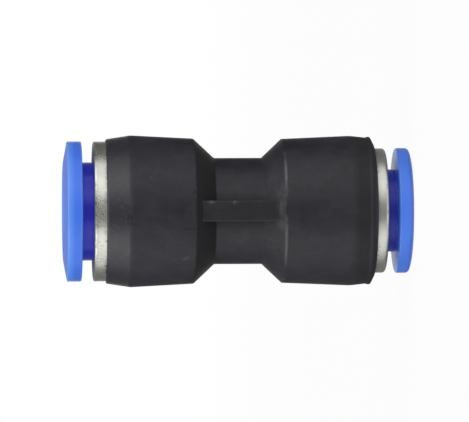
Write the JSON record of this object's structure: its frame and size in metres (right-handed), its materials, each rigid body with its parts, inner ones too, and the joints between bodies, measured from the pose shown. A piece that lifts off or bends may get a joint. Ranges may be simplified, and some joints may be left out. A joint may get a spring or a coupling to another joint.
{
  "type": "air brake hose reducer",
  "caption": "Push-in straight reducer for air hose: black moulded body, metal collars and blue release sleeves, with a wider port at one end than the other.",
  "frame": {"origin": "centre of the small port's outer face, on which the fitting stands; the lowest point of the part on its axis", "axes": "+Z along the bore from the small port to the large port; the neck's two ribs face +Y and -Y; millimetre sizes, metres in the row"},
  "size_m": [0.0218, 0.0218, 0.0497],
  "materials": {
    "moulded_body": "satin",
    "plated_collar": "satin",
    "blue_sleeve": "satin",
    "spring_steel": "satin",
    "white_plastic": "satin",
    "seal_rubber": "matte"
  },
  "bodies": {
    "fitting": {"body": "moulded_body", "large_collar": "plated_collar", "small_collar": "plated_collar", "large_grab_ring": "spring_steel", "small_grab_ring": "spring_steel", "large_backup_ring": "white_plastic", "small_backup_ring": "white_plastic", "large_o_ring": "seal_rubber", "small_o_ring": "seal_rubber"},
    "large_sleeve": {"large_release_sleeve": "blue_sleeve"},
    "small_sleeve": {"small_release_sleeve": "blue_sleeve"}
  },
  "joints": [
    {"name": "large_release", "type": "slide", "parent": "fitting", "child": "large_sleeve", "axis": [0, 0, -1], "range_m": [0, 0.0016], "stiffness_N_per_m": 2000, "springref_m": -0.001, "deforming": ["large_grab_ring"]},
    {"name": "small_release", "type": "slide", "parent": "fitting", "child": "small_sleeve", "axis": [0, 0, 1], "range_m": [0, 0.0012], "stiffness_N_per_m": 2000, "springref_m": -0.001, "deforming": ["small_grab_ring"]}
  ]
}
